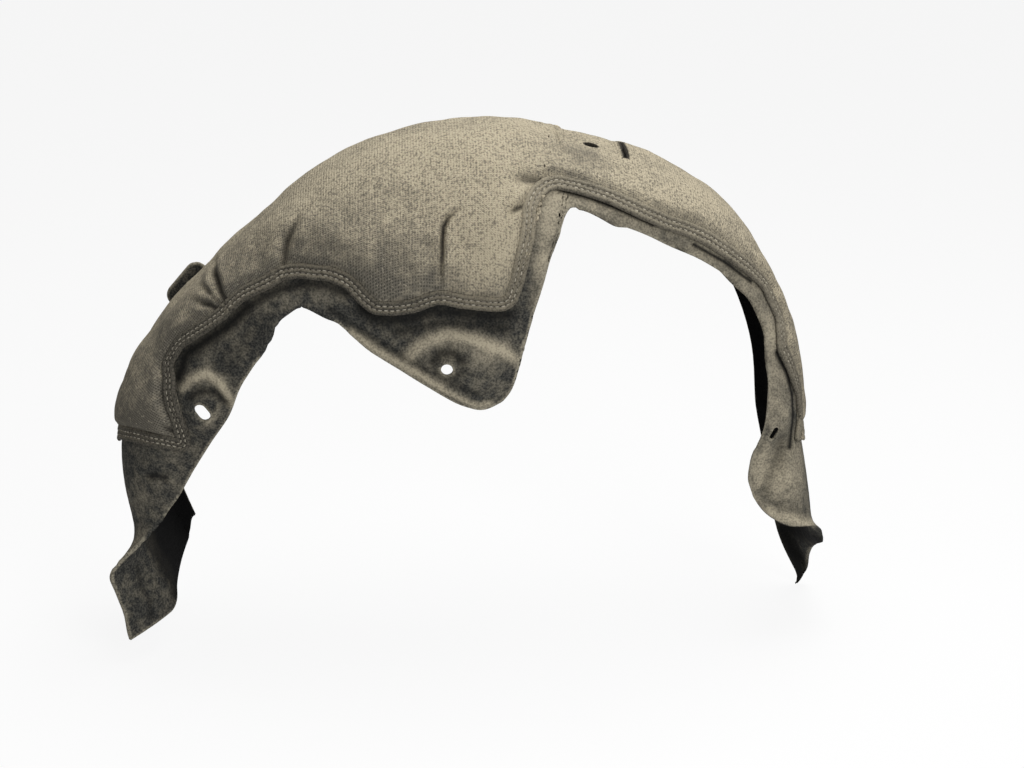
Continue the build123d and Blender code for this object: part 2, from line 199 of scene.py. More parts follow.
# Lines of the moulding by the pixels they pass in the photograph, with half a width. Where it is given,
# a line is raised or sunken by its rise, made pale by dust and painted light, or made black by painted
# shade.
FELT_LINES = [
    {"pixels": [(408, 358), (420, 347), (432, 339), (446, 334), (470, 339), (500, 350), (516, 361)],
     "half": 0.0065, "rise": 0.0035, "dust_and_light": 0.72},
    {"pixels": [(362, 309), (374, 318), (391, 321), (415, 318), (433, 311), (456, 313), (491, 317),
                (508, 315)],
     "half": 0.0095, "rise": -0.0015, "painted_shade": 0.90},
    {"pixels": [(434, 362), (440, 354), (453, 354), (462, 362)],
     "half": 0.0060, "rise": -0.0020, "painted_shade": 0.80},
    {"pixels": [(435, 373), (443, 380), (455, 379), (463, 371)],
     "half": 0.0050, "rise": -0.0015, "painted_shade": 0.55},
    {"pixels": [(352, 333), (375, 350), (404, 367), (445, 391), (465, 401), (477, 405), (490, 403)],
     "half": 0.0042, "rise": 0.0022, "dust_and_light": 0.80},
    {"pixels": [(330, 310), (356, 328), (382, 345), (411, 362), (449, 384), (476, 394)],
     "half": 0.0045, "rise": -0.0015, "painted_shade": 0.50},
    {"pixels": [(182, 388), (192, 379), (206, 374), (220, 383), (231, 402)],
     "half": 0.0055, "rise": 0.0030, "dust_and_light": 0.85},
    {"pixels": [(190, 398), (200, 392), (214, 392), (226, 402)],
     "half": 0.0050, "rise": -0.0015, "painted_shade": 0.80},
    {"pixels": [(206, 424), (214, 416), (219, 406)], "half": 0.0030, "rise": 0.0012, "dust_and_light": 0.40},
    {"pixels": [(766, 408), (776, 404), (786, 412)], "half": 0.0070, "rise": 0.0025, "dust_and_light": 0.25},
    {"pixels": [(781, 440), (776, 462), (766, 490)], "half": 0.0060, "rise": -0.0030, "painted_shade": 0.35},
    {"pixels": [(764, 446), (757, 466), (756, 486)], "half": 0.0080, "rise": 0.0025, "dust_and_light": 0.25},
    {"pixels": [(137, 567), (141, 587), (149, 600), (151, 618)],
     "half": 0.0040, "rise": -0.0022, "painted_shade": 0.40},
    {"pixels": [(150, 477), (157, 476), (164, 478)], "half": 0.0048, "rise": -0.0020, "painted_shade": 0.80},
    {"pixels": [(178, 378), (186, 355), (208, 340), (226, 328), (234, 321), (247, 308)],
     "half": 0.0085, "rise": -0.0030, "painted_shade": 0.97},
    {"pixels": [(247, 308), (262, 299), (280, 290), (302, 284), (327, 286), (345, 294)],
     "half": 0.0060, "rise": -0.0010, "painted_shade": 0.80},
    {"pixels": [(561, 190), (591, 198), (622, 211), (653, 225)],
     "half": 0.0028, "rise": -0.0020, "painted_shade": 1.0},
    {"pixels": [(694, 245), (724, 262), (751, 282)], "half": 0.0024, "rise": -0.0020, "painted_shade": 1.0},
    {"pixels": [(777, 353), (787, 374), (792, 395), (793, 420), (790, 448)],
     "half": 0.0036, "rise": -0.0020, "painted_shade": 1.0},
    {"pixels": [(672, 250), (681, 254), (689, 256)], "half": 0.0028, "painted_shade": 0.90},
    {"pixels": [(556, 193), (550, 215), (546, 240), (542, 262)], "half": 0.0120, "dust_and_light": 0.55},
    {"pixels": [(542, 262), (538, 285), (534, 306)], "half": 0.0090, "dust_and_light": 0.30},
    {"pixels": [(772, 512), (780, 517), (795, 519), (812, 526)],
     "half": 0.0055, "rise": 0.0015, "dust_and_light": 0.35},
    {"pixels": [(776, 505), (790, 511), (805, 515)], "half": 0.0050, "rise": -0.0010, "painted_shade": 0.25},
    {"pixels": [(783, 530), (790, 545), (797, 560), (799, 576)], "half": 0.0260, "painted_shade": 1.0},
    {"pixels": [(790, 529), (803, 533), (817, 539)], "half": 0.0200, "painted_shade": 1.0},
    {"pixels": [(228, 362), (246, 341), (262, 322)], "half": 0.0140, "painted_shade": 0.30},
    {"pixels": [(398, 331), (418, 328), (440, 322), (470, 324), (505, 328)], "half": 0.0075, "painted_shade": 0.70},
]
# Dust and painted light on the felt by pixel, with a spread and an amount that is negative where it darkens
# the felt
FELT_DUST_AND_LIGHT_SPOTS = [
    {"pixel": (445, 345), "spread": 0.030, "amount": 0.16},
    {"pixel": (470, 380), "spread": 0.040, "amount": 0.06},
    {"pixel": (484, 351), "spread": 0.014, "amount": 0.30},
    {"pixel": (410, 352), "spread": 0.025, "amount": 0.12},
    {"pixel": (150, 495), "spread": 0.050, "amount": 0.08},
    {"pixel": (150, 590), "spread": 0.050, "amount": -0.10},
    {"pixel": (585, 207), "spread": 0.030, "amount": 0.40},
    {"pixel": (640, 228), "spread": 0.035, "amount": 0.45},
    {"pixel": (700, 256), "spread": 0.035, "amount": 0.45},
    {"pixel": (750, 292), "spread": 0.030, "amount": 0.35},
    {"pixel": (774, 390), "spread": 0.040, "amount": 0.38},
    {"pixel": (768, 335), "spread": 0.030, "amount": 0.65},
    {"pixel": (785, 460), "spread": 0.040, "amount": 0.45},
    {"pixel": (760, 470), "spread": 0.025, "amount": 0.20},
    {"pixel": (790, 500), "spread": 0.032, "amount": 0.38},
]
# Corner between the strip and the flap's front side, which is pressed smooth and is kept free of the wheel
# side's black near its edge
SOFT_CORNER = {
    "pixels": [(568, 196), (561, 215), (557, 240), (552, 266), (544, 288), (538, 305)],
    "half": 0.015, "unblackened": 0.5,
}
SOFT_PASSES = 20
SOFT_STEP = 0.5
CORNER_WELD = SHELL_WELD / 3


def fine_copy(node, weld, longest):
    """Welded copy of a node, with its small faces merged and its long edges split."""
    bm = bmesh.new()
    bm.from_mesh(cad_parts[node].data)
    bmesh.ops.remove_doubles(bm, verts=bm.verts, dist=weld)
    bmesh.ops.dissolve_degenerate(bm, edges=bm.edges, dist=weld * SLIVER_SHARE)
    bmesh.ops.triangulate(bm, faces=bm.faces)
    for _ in range(SPLIT_PASSES):
        long_edges = [edge for edge in bm.edges if edge.calc_length() > longest]
        if not long_edges:
            break
        bmesh.ops.subdivide_edges(bm, edges=long_edges, cuts=1)
        bmesh.ops.triangulate(bm, faces=bm.faces)
        flat_edges = [edge for edge in bm.edges if edge.calc_face_angle(BORDER_ANGLE) < FLAT_ANGLE]
        bmesh.ops.beautify_fill(bm, faces=bm.faces, edges=flat_edges)
    bm.normal_update()
    return bm


def add_object(name, bm):
    """New object that holds a finished mesh."""
    mesh = bpy.data.meshes.new(name)
    bm.to_mesh(mesh)
    obj = bpy.data.objects.new(name, mesh)
    bpy.context.scene.collection.objects.link(obj)
    return obj


def add_values(mesh, name, values):
    """Number per vertex that a material can read."""
    attribute = mesh.attributes.new(name, "FLOAT", "POINT")
    attribute.data.foreach_set("value", np.asarray(values, dtype=np.float32))


def smooth(t):
    """Smooth step from 0 to 1."""
    t = min(max(t, 0.0), 1.0)
    return t * t * (3 - 2 * t)


def hill(distance, half):
    """Round hill from 1 at its middle to almost nothing at twice its half width."""
    return math.exp(-(distance / half) ** 2)


def tree_of(points):
    """Search tree of a list of points."""
    tree = KDTree(len(points))
    for index, point in enumerate(points):
        tree.insert(point, index)
    tree.balance()
    return tree


def evenly(points, step, closed):
    """Points at an even step along a line."""
    line = points + points[:1] if closed else points
    lengths = np.concatenate(([0], np.cumsum([(b - a).length for a, b in zip(line, line[1:])])))
    count = max(2, round(lengths[-1] / step) + (0 if closed else 1))
    wanted = np.linspace(0, lengths[-1], count, endpoint=not closed)
    sampled = [np.interp(wanted, lengths, [point[axis] for point in line]) for axis in range(3)]
    return [Vector(place) for place in zip(*sampled)]


def seen_on(tree, pixel):
    """Point of a surface at a pixel of the photograph, or the nearest to that line of sight."""
    direction = sight(pixel)
    hit = tree.ray_cast(camera.location, direction)[0]
    if hit:
        return hit
    steps = range(-SEARCH_STEPS, SEARCH_STEPS + 1)
    along = [camera.location + direction * (VIEW_DISTANCE + SEARCH_STEP * k) for k in steps]
    return min((tree.find_nearest(place) for place in along), key=lambda found: found[3])[0]


def close_pixels(pixels):
    """Pixels a few apart along a line of the photograph."""
    path = []
    for (left, top), (right, low) in zip(pixels, pixels[1:]):
        count = max(1, round(math.hypot(right - left, low - top) / PIXEL_STEP))
        path += [(left + (right - left) * k / count, top + (low - top) * k / count) for k in range(count)]
    return path + pixels[-1:]


def drawn_on(tree, lines):
    """Lines of the photograph laid on a surface: for each its values, its points and their search tree."""
    drawn = []
    for line in lines:
        places = [seen_on(tree, pixel) for pixel in close_pixels(line["pixels"])]
        points = evenly(places, LINE_STEP, False)
        drawn.append((line, points, tree_of(points)))
    return drawn


def refine_near(bm, drawn):
    """Split the edges near drawn lines until they can follow the width of each line."""
    points = [point for line, points, tree in drawn for point in points]
    halves = [line["half"] for line, points, tree in drawn for point in points]
    tree = tree_of(points)
    for _ in range(LINE_PASSES):
        long_edges = []
        for edge in bm.edges:
            _, index, distance = tree.find((edge.verts[0].co + edge.verts[1].co) / 2)
            if distance < LINE_REACH * halves[index] and edge.calc_length() > LINE_FINE * halves[index]:
                long_edges.append(edge)
        bmesh.ops.subdivide_edges(bm, edges=long_edges, cuts=1)
        bmesh.ops.triangulate(bm, faces=bm.faces)
    bm.normal_update()


def spots_laid_on(tree, spots):
    """Spots of dust and painted light of the photograph laid on a surface, as points with their values."""
    return [(seen_on(tree, spot["pixel"]), spot) for spot in spots]


def dust_and_light_at(place, spots):
    """Dust and painted light of all the spots at a point."""
    return sum(spot["amount"] * hill((place - middle).length, spot["spread"]) for middle, spot in spots)


shell_bm = fine_copy("liner_shell", SHELL_WELD, SHELL_EDGE)
shell_tree = BVHTree.FromBMesh(shell_bm)


def fan_way(angle):
    """Direction from the fan line, below the wheel axis, out to the crown at an angle in degrees."""
    return Vector((math.cos(math.radians(angle)), 0.0, math.sin(math.radians(angle))))


def fan_place(angle, y):
    """Point of the shell's outer face at an angle and a Y."""
    way = fan_way(angle)
    return shell_tree.ray_cast(Vector((FAN_X, y, FAN_Z)) + way * FAN_REACH, -way)[0]


def is_cut(face):
    """Whether a face is a cut edge: behind it the felt is thicker than the sheet."""
    middle = face.calc_center_median()
    depth = shell_tree.ray_cast(middle - face.normal * UNDER_SKIN, -face.normal)[3]
    return depth is None or depth > CUT_DEPTH


fan_angles = list(range(FAN_FROM, FAN_TO, FAN_STEP))
crown_places = [fan_place(angle, WHEEL_Y) for angle in fan_angles]
wheel_angles = [angle for angle, place in zip(fan_angles, crown_places) if place]
crown_radii = [math.hypot(place.x - FAN_X, place.z - FAN_Z) for place in crown_places if place]
wheel_radii = [radius - WHEEL_DEPTH for radius in crown_radii]


def wheel_side(vert):
    """1 on the faces that look at the wheel, 0 on those that look at the body."""
    out_x, out_z = vert.co.x - FAN_X, vert.co.z - FAN_Z
    angle = math.degrees(math.atan2(out_z, out_x)) % 360
    angle = angle - 360 if angle > 270 else angle
    radius = np.interp(angle, wheel_angles, wheel_radii)
    wheel = Vector((FAN_X, WHEEL_Y, FAN_Z)) + fan_way(angle) * radius
    looks = vert.normal.dot((wheel - vert.co).normalized())
    below = radius + WHEEL_DEPTH - math.hypot(out_x, out_z)
    inside = smooth((vert.co.y - BLACK_FROM_Y) / BLACK_FADE) * smooth(below / BELOW_FADE)
    return smooth(0.5 + LOOK_SHARPNESS * looks) * inside


felt_lines = drawn_on(shell_tree, FELT_LINES)
felt_spots = spots_laid_on(shell_tree, FELT_DUST_AND_LIGHT_SPOTS)
_, _, corner_tree = drawn_on(shell_tree, [SOFT_CORNER])[0]
corner_verts = [vert for vert in shell_bm.verts if corner_tree.find(vert.co)[2] < SOFT_CORNER["half"]]
for _ in range(SOFT_PASSES):
    bmesh.ops.smooth_vert(
        shell_bm, verts=corner_verts, factor=SOFT_STEP, use_axis_x=True, use_axis_y=True, use_axis_z=True)
bmesh.ops.remove_doubles(shell_bm, verts=corner_verts, dist=CORNER_WELD)
bmesh.ops.dissolve_degenerate(shell_bm, edges=shell_bm.edges, dist=SHELL_WELD * SLIVER_SHARE)
bmesh.ops.triangulate(shell_bm, faces=shell_bm.faces)
shell_bm.normal_update()
cut_tree = tree_of([face.calc_center_median() for face in shell_bm.faces if is_cut(face)])
refine_near(shell_bm, felt_lines)
shell_bm.verts.index_update()
near_cut = []
wheel_dirt_and_shade = []
felt_dust_and_light = []
felt_painted_shade = []
felt_moves = []
for vert in shell_bm.verts:
    off_cut = cut_tree.find(vert.co)[2]
    swell = FELT_SWELL * noise.noise(vert.co / FELT_SWELL_SIZE)
    swell += FELT_LUMP * noise.noise(vert.co / FELT_LUMP_SIZE)
    dust_and_light = dust_and_light_at(vert.co, felt_spots)
    painted_shade = 0.0
    rise = 0.0
    # Each drawn line adds its rise, its dust and painted light, and its painted shade
    for line, _, tree in felt_lines:
        pull = hill(tree.find(vert.co)[2], line["half"])
        rise += pull * line.get("rise", 0.0)
        dust_and_light += pull * line.get("dust_and_light", 0.0)
        painted_shade = max(painted_shade, pull * line.get("painted_shade", 0.0))
    near_cut.append(hill(off_cut, CUT_FADE))
    off_corner = corner_tree.find(vert.co)[2] / SOFT_CORNER["half"]
    # Black of the wheel side for dirt and painted shade, faded out near the soft corner
    wheel_dirt_and_shade.append(wheel_side(vert) * smooth(off_corner - SOFT_CORNER["unblackened"]))
    felt_dust_and_light.append(dust_and_light)
    felt_painted_shade.append(painted_shade)
    felt_moves.append(vert.normal * swell * smooth(off_cut / CUT_STILL) + TO_BODY * rise)
for _ in range(DIRT_PASSES):
    middle_values = []
    for vert in shell_bm.verts:
        around = sorted(wheel_dirt_and_shade[edge.other_vert(vert).index] for edge in vert.link_edges)
        middle_values.append(around[len(around) // 2])
    wheel_dirt_and_shade = middle_values
for vert, move in zip(shell_bm.verts, felt_moves):
    vert.co += move
shell_bm.normal_update()
felt_shell = add_object("felt_shell", shell_bm)
felt_shell.data.set_sharp_from_angle(angle=CUT_EDGE_ANGLE)
add_values(felt_shell.data, "near_cut", near_cut)
add_values(felt_shell.data, "wheel_dirt_and_shade", wheel_dirt_and_shade)
add_values(felt_shell.data, "dust_and_light", felt_dust_and_light)
add_values(felt_shell.data, "painted_shade", felt_painted_shade)

DULL_SHINE = 0.12


class Surface:
    """Node tree of one material, with short ways to add the nodes that the finishes here share."""

    def __init__(self, name, roughness):
        self.material = bpy.data.materials.new(name)
        self.material.use_nodes = True
        self.tree = self.material.node_tree
        self.shader = self.tree.nodes["Principled BSDF"]
        self.shader.inputs["Roughness"].default_value = roughness
        self.shader.inputs["Specular IOR Level"].default_value = DULL_SHINE
        self.place = self.add("ShaderNodeTexCoord").outputs["Object"]

    def add(self, kind, **settings):
        """New node with its settings."""
        node = self.tree.nodes.new(kind)
        for key, value in settings.items():
            setattr(node, key, value)
        return node

    def feed(self, socket, value):
        """Give a socket a link or a plain value."""
        if isinstance(value, bpy.types.NodeSocket):
            self.tree.links.new(value, socket)
        else:
            socket.default_value = value

    def speckle(self, size, detail):
        """Noise with spots of a size in metres."""
        node = self.add("ShaderNodeTexNoise")
        self.feed(node.inputs["Vector"], self.place)
        node.inputs["Scale"].default_value = 1.0 / size
        node.inputs["Detail"].default_value = detail
        return node.outputs["Fac"]

    def ramp(self, value, low, high, start=0.0, end=1.0):
        """Value eased from one range to another."""
        node = self.add("ShaderNodeMapRange", interpolation_type="SMOOTHSTEP")
        self.feed(node.inputs["Value"], value)
        node.inputs["From Min"].default_value = low
        node.inputs["From Max"].default_value = high
        node.inputs["To Min"].default_value = start
        node.inputs["To Max"].default_value = end
        return node.outputs["Result"]

    def math(self, operation, first, second=0.0, clamp=False):
        """Sum, product or the like of two values."""
        node = self.add("ShaderNodeMath", operation=operation, use_clamp=clamp)
        self.feed(node.inputs[0], first)
        self.feed(node.inputs[1], second)
        return node.outputs[0]

    def value_of(self, attribute):
        """Number that the mesh holds per vertex."""
        return self.add("ShaderNodeAttribute", attribute_name=attribute).outputs["Fac"]

    def blend(self, share, first, second):
        """Second colour laid over the first by a share."""
        node = self.add("ShaderNodeMix", data_type="RGBA")
        sockets = {socket.identifier: socket for socket in node.inputs}
        self.feed(sockets["Factor_Float"], share)
        self.feed(sockets["A_Color"], first)
        self.feed(sockets["B_Color"], second)
        return next(socket for socket in node.outputs if socket.identifier == "Result_Color")

    def facing_up(self):
        """How far the surface faces up."""
        split = self.add("ShaderNodeSeparateXYZ")
        self.feed(split.inputs[0], self.add("ShaderNodeNewGeometry").outputs["Normal"])
        return split.outputs["Z"]

    def finish(self, colour, height, depth):
        """Material with its colour and a fine relief of a depth."""
        bump = self.add("ShaderNodeBump")
        bump.inputs["Distance"].default_value = depth
        self.feed(bump.inputs["Height"], height)
        self.feed(self.shader.inputs["Base Color"], colour)
        self.feed(self.shader.inputs["Normal"], bump.outputs["Normal"])
        return self.material


FELT_DARK = (0.024, 0.025, 0.024, 1.0)
FELT_FIBRE = (0.078, 0.075, 0.065, 1.0)
# Dust colour, also used to paint light
FELT_DUST_AND_LIGHT = (0.42, 0.372, 0.275, 1.0)
FELT_CUT = (0.33, 0.30, 0.23, 1.0)
# Near-black painted shade for the gaps under the hem, the grooves and slits, and the far leg's inner face
FELT_PAINTED_SHADE = (0.008, 0.008, 0.0075, 1.0)
# Black for dirt and painted shade on the wheel side
FELT_BLACK = (0.004, 0.004, 0.004, 1.0)
FELT_ROUGHNESS = 0.95
FIBRE_SIZE = 0.0021
FUZZ_SIZE = 0.006
TUFT_SIZE = 0.009
MOTTLE_SIZE = 0.030
FELT_RELIEF = 0.0012


def felt():
    """Dark grey felt with paler fibres, dust and painted light where it lies, painted shade along drawn
    lines, pale cut edges and a wheel side black with dirt and painted shade.
    """
    surface = Surface("needle_felt", FELT_ROUGHNESS)
    fibres = surface.speckle(FIBRE_SIZE, 8.0)
    tufts = surface.speckle(TUFT_SIZE, 5.0)
    mottle = surface.speckle(MOTTLE_SIZE, 5.0)
    colour = surface.blend(surface.ramp(fibres, 0.38, 0.64), FELT_DARK, FELT_FIBRE)
    up = surface.ramp(surface.facing_up(), -0.1, 1.0, 0.0, 0.45)
    # Dust with painted light from the spots and drawn lines, where negative values darken
    dust_and_light_share = surface.math("ADD", surface.value_of("dust_and_light"), up)
    dust_and_light_share = surface.math("ADD", dust_and_light_share, surface.ramp(mottle, 0.3, 0.7, -0.10, 0.12))
    dust_and_light_share = surface.math("ADD", dust_and_light_share, surface.ramp(tufts, 0.3, 0.7, -0.10, 0.12))
    dust_and_light_share = surface.math("MULTIPLY", dust_and_light_share, surface.ramp(fibres, 0.32, 0.64, 0.62, 1.18), clamp=True)
    colour = surface.blend(dust_and_light_share, colour, FELT_DUST_AND_LIGHT)
    frayed = surface.ramp(fibres, 0.3, 0.6, 0.2, 0.9)
    edge = surface.math("MULTIPLY", surface.ramp(surface.value_of("near_cut"), 0.5, 0.95), frayed)
    colour = surface.blend(edge, colour, FELT_CUT)
    # Painted shade along the drawn lines
    colour = surface.blend(surface.value_of("painted_shade"), colour, FELT_PAINTED_SHADE)
    # Black of the wheel side, for dirt and painted shade
    colour = surface.blend(surface.value_of("wheel_dirt_and_shade"), colour, FELT_BLACK)
    height = surface.math("ADD", fibres, surface.speckle(FUZZ_SIZE, 4.0))
    return surface.finish(colour, height, FELT_RELIEF)


felt_shell.data.materials.append(felt())
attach(felt_shell, "root")
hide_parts("liner_shell")

# Absorber cover
# A woven cover over loose wadding, laid on the outer face of the shell. It is flat under its hem and swells
# up behind it, and tucks in the hem pull creases up over the padding.
COVER_WELD = 0.0012
COVER_EDGE = 0.0042
OUTER_SKIN_GAP = 0.0021
HEM_STEP = 0.0025
HEM_WIDTH = 0.0125
HEM_SINK = 0.0014
PUFF_RISE = 0.0045
PUFF_RUN = 0.011
PUFF_FALL = 0.075
COVER_SWELL = 0.0024
COVER_SWELL_SIZE = 0.055
COVER_LUMP = 0.0009
COVER_LUMP_SIZE = 0.020
CROWN_HOLE = Vector((0.15566, 0.12281, 0.20059))
CROWN_AXIS = Vector((-0.30902, 0.0, -0.95106))
CROWN_HOLE_RADIUS = 0.0080
SLOT_ANGLE = 67.5
SLOT_WIDTH = 0.0060
SLOT_FROM_Y = 0.0978
SLOT_TO_Y = 0.1618
HOLE_FADE = 0.0022
# Outer edge of the hem by the pixels it passes in the photograph, from the rear leg to the front leg
HEM_PIXELS = [
    (122, 438), (155, 445), (187, 450), (190, 440), (184, 419), (178, 406), (175, 389), (176, 376),
    (173, 366), (183, 348), (206, 333), (224, 321), (232, 313), (244, 301), (260, 293), (277, 285),
    (282, 280), (301, 277), (314, 279), (327, 279), (346, 287), (362, 304), (374, 313), (391, 314),
    (415, 311), (433, 304), (440, 302), (456, 306), (491, 310), (505, 309), (515, 302), (523, 281),
    (527, 261), (533, 240), (535, 222), (535, 211), (540, 199), (549, 191), (558, 189), (572, 192),
    (602, 201), (632, 214), (663, 228), (683, 234), (704, 244), (724, 257), (745, 273), (761, 288),
    (775, 320), (777, 349), (787, 371), (795, 395), (797, 418), (794, 442),
]
# Out of sight the hem runs across each leg's crown and along the outboard shoulder, by angle and Y
FRONT_END_ANGLE = 15.0
REAR_END_ANGLE = 163.0
END_FROM_Y = 0.110
FAR_HEM_Y = {15: 0.201, 62: 0.200, 90: 0.194, 130: 0.1965, 163: 0.198}
END_STEPS = 8
FAR_STEP = 4
HEM_EVEN = 2
# Creases by the pixels they pass, from the hem upwards, with a depth, half a width, the painted shade in
# them and the shares of their length at which they are first and last full. The cover bulges beside a
# crease.
SHORTEST_FADE = 0.01
BULGE_OUT = 2.2
BULGE_HALF = 1.1
BULGE_SHARE = 0.35
CREASES = [
    {"pixels": [(440, 300), (441, 276), (442, 256), (442, 240), (443, 228), (447, 219), (455, 212),
                (468, 208)],
     "depth": 0.0050, "half": 0.0028, "painted_shade": 0.85, "full": (0.55, 0.70)},
    {"pixels": [(282, 281), (284, 262), (288, 242), (300, 215), (327, 194)],
     "depth": 0.0040, "half": 0.0060, "painted_shade": 0.70, "full": (0.0, 0.40)},
    {"pixels": [(232, 313), (222, 292), (215, 272), (214, 258)],
     "depth": 0.0050, "half": 0.0050, "painted_shade": 0.80, "full": (0.0, 0.40)},
    {"pixels": [(231, 315), (212, 306), (190, 302)],
     "depth": 0.0040, "half": 0.0040, "painted_shade": 0.80, "full": (0.0, 0.40)},
    {"pixels": [(231, 314), (214, 296), (198, 284)],
     "depth": 0.0030, "half": 0.0040, "painted_shade": 0.60, "full": (0.0, 0.40)},
    {"pixels": [(557, 187), (548, 183), (535, 180), (518, 180), (496, 184)],
     "depth": 0.0048, "half": 0.0080, "painted_shade": 0.70, "full": (0.0, 0.45)},
    {"pixels": [(534, 203), (524, 206), (514, 210), (503, 217)],
     "depth": 0.0045, "half": 0.0042, "painted_shade": 0.75, "full": (0.0, 0.50)},
    {"pixels": [(184, 440), (168, 428), (156, 418)],
     "depth": 0.0030, "half": 0.0040, "painted_shade": 0.80, "full": (0.0, 0.40)},
    {"pixels": [(182, 444), (160, 440), (140, 432)],
     "depth": 0.0030, "half": 0.0040, "painted_shade": 0.80, "full": (0.0, 0.40)},
    {"pixels": [(178, 372), (168, 382), (163, 398), (164, 415)],
     "depth": 0.0045, "half": 0.0070, "painted_shade": 0.80, "full": (0.0, 0.40)},
    {"pixels": [(556, 128), (558, 140), (559, 155), (555, 172)],
     "depth": 0.0024, "half": 0.0028, "painted_shade": 0.45, "full": (0.0, 0.5)},
]
# Dust and painted light on the cover by pixel, as on the felt
COVER_DUST_AND_LIGHT_SPOTS = [
    {"pixel": (490, 245), "spread": 0.050, "amount": 0.55},
    {"pixel": (520, 200), "spread": 0.040, "amount": 0.30},
    {"pixel": (390, 285), "spread": 0.045, "amount": -0.35},
    {"pixel": (428, 275), "spread": 0.018, "amount": -0.25},
    {"pixel": (330, 250), "spread": 0.060, "amount": -0.15},
    {"pixel": (250, 260), "spread": 0.060, "amount": -0.40},
    {"pixel": (190, 320), "spread": 0.060, "amount": -0.35},
    {"pixel": (150, 400), "spread": 0.080, "amount": -0.65},
    {"pixel": (588, 158), "spread": 0.040, "amount": -0.50},
    {"pixel": (690, 210), "spread": 0.060, "amount": 0.10},
]

pad_bm = fine_copy("absorber_pad", COVER_WELD, COVER_EDGE)
pad_tree = BVHTree.FromBMesh(pad_bm)


def steadied(points, reach):
    """Closed line whose points are averaged with their neighbours."""
    count = len(points)
    spread = range(-reach, reach + 1)
    sums = [sum((points[(k + d) % count] for d in spread), Vector()) for k in range(count)]
    return [total / len(spread) for total in sums]


def end_row(angle):
    """Points across one leg's crown, from the sight side to the outboard shoulder."""
    far_y = FAR_HEM_Y[round(angle)]
    across = [END_FROM_Y + (far_y - END_FROM_Y) * k / END_STEPS for k in range(END_STEPS)]
    return [fan_place(angle, y) for y in across]


def off_opening(place):
    """Distance from a point to the nearer of the crown's round hole and strap slot, 0 on their walls."""
    off_hole = (place - CROWN_HOLE).cross(CROWN_AXIS).length - CROWN_HOLE_RADIUS
    off_x, off_z = place.x - FAN_X, place.z - FAN_Z
    turn = abs(math.atan2(off_z, off_x) - math.radians(SLOT_ANGLE))
    beside = max(0.0, math.hypot(off_x, off_z) * turn - SLOT_WIDTH / 2)
    beyond = max(0.0, SLOT_FROM_Y - place.y, place.y - SLOT_TO_Y)
    return max(0.0, min(off_hole, math.hypot(beside, beyond)))


far_angles = np.arange(FRONT_END_ANGLE, REAR_END_ANGLE, FAR_STEP)
far_places = np.interp(far_angles, list(FAR_HEM_Y), list(FAR_HEM_Y.values()))
far_row = [fan_place(angle, y) for angle, y in zip(far_angles, far_places)]
hem_corners = [seen_on(shell_tree, pixel) for pixel in close_pixels(HEM_PIXELS)]
hem_corners += end_row(FRONT_END_ANGLE) + far_row + end_row(REAR_END_ANGLE)[::-1]
hem_line = steadied(evenly(hem_corners, HEM_STEP, True), HEM_EVEN)
hem_tree = tree_of(hem_line)
crease_lines = drawn_on(pad_tree, CREASES)
cover_spots = spots_laid_on(pad_tree, COVER_DUST_AND_LIGHT_SPOTS)
refine_near(pad_bm, crease_lines)

crease_and_hole_shade = []
cover_dust_and_light = []
cover_lifts = []
for vert in pad_bm.verts:
    deepest = 0.0
    lift = 0.0
    if shell_tree.find_nearest(vert.co)[3] > OUTER_SKIN_GAP:
        inside = hem_tree.find(vert.co)[2]
        behind = smooth((inside - HEM_WIDTH) / PUFF_RUN)
        full = 1 - smooth((inside - HEM_WIDTH - PUFF_RUN) / PUFF_FALL)
        lift = PUFF_RISE * behind * full - HEM_SINK * (1 - behind)
        lift += behind * COVER_SWELL * noise.noise(vert.co / COVER_SWELL_SIZE)
        lift += behind * COVER_LUMP * noise.noise(vert.co / COVER_LUMP_SIZE)
        for line, points, tree in crease_lines:
            _, index, distance = tree.find(vert.co)
            first, last = line["full"]
            passed = index / len(points)
            fade = smooth(passed / max(first, SHORTEST_FADE))
            fade *= 1 - smooth((passed - last) / max(1 - last, SHORTEST_FADE))
            pull = hill(distance, line["half"]) * fade
            bulge = hill(distance / line["half"] - BULGE_OUT, BULGE_HALF) * fade
            lift += behind * line["depth"] * (BULGE_SHARE * bulge - pull)
            deepest = max(deepest, pull * line["painted_shade"] * smooth(inside / HEM_WIDTH))
    # Painted shade in the creases and on the walls of the crown's hole and strap slot
    crease_and_hole_shade.append(max(deepest, 1 - smooth(off_opening(vert.co) / HOLE_FADE)))
    # Dust and painted light from the cover's spots
    cover_dust_and_light.append(dust_and_light_at(vert.co, cover_spots))
    cover_lifts.append(lift)
for vert, lift in zip(pad_bm.verts, cover_lifts):
    vert.co += vert.normal * lift
cover = add_object("absorber_cover", pad_bm)
cover.data.set_sharp_from_angle(angle=CUT_EDGE_ANGLE)
add_values(cover.data, "crease_and_hole_shade", crease_and_hole_shade)
add_values(cover.data, "dust_and_light", cover_dust_and_light)

# The weave runs round the arch and across it, and straight down the middle panel
CLOTH_RADIUS = 0.44
STRAIGHT_TO = 0.35
ROUND_FROM = 0.75
cloth = cover.data.attributes.new("cloth", "FLOAT_VECTOR", "POINT")
for index, vert in enumerate(pad_bm.verts):
    out_x, out_z = vert.co.x - FAN_X, vert.co.z - FAN_Z
    turn = math.atan2(out_z, out_x)
    under = math.acos(min(max(out_x / CLOTH_RADIUS, -1.0), 1.0))
    bend = smooth((abs(math.cos(turn)) - STRAIGHT_TO) / (ROUND_FROM - STRAIGHT_TO))
    across = vert.co.y + math.hypot(out_x, out_z)
    cloth.data[index].vector = (CLOTH_RADIUS * (bend * turn + (1 - bend) * under), across, 0.0)

